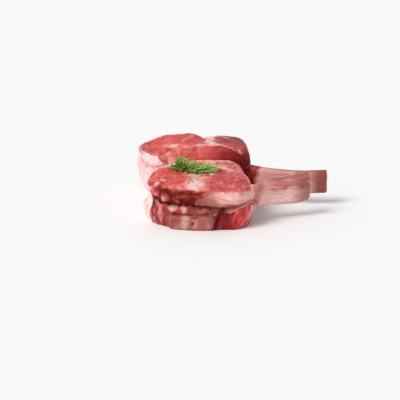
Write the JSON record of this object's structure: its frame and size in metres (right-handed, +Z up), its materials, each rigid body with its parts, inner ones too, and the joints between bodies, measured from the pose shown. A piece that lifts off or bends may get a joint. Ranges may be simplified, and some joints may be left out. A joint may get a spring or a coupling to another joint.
{
  "type": "raw bone-in prime rib roast",
  "caption": "Raw beef rib roast with long clean rib bones, a fat cap and a rosemary sprig, lying on its cut face, ready to be roasted.",
  "frame": {"origin": "middle of the whole box, on the plane that the roast lies on", "axes": "+X along the rib bones towards their free ends, -Y the chest side of the front piece, +Z up"},
  "size_m": [0.2454, 0.2034, 0.0741],
  "materials": {
    "raw_lean": "moist raw beef, pink-red with fine grain and white marbling",
    "fat": "smooth raw fat, cream to pale pink, satin and slightly creased",
    "rib_bone": "scraped rib bone, pink-brown with fine lengthwise scratches, damp",
    "sawn_bone": "sawn vertebra, beige and porous with red marrow specks",
    "rosemary": "fresh needles, green above and paler below"
  },
  "bodies": {
    "root": {"front_meat": "raw_lean", "rear_meat": "raw_lean", "front_fat_cap": "fat", "rear_fat_cap": "fat", "front_rib_bone": "rib_bone", "rear_rib_bone": "rib_bone", "chine_bone": "sawn_bone", "rosemary_sprig": "rosemary"}
  },
  "joints": []
}
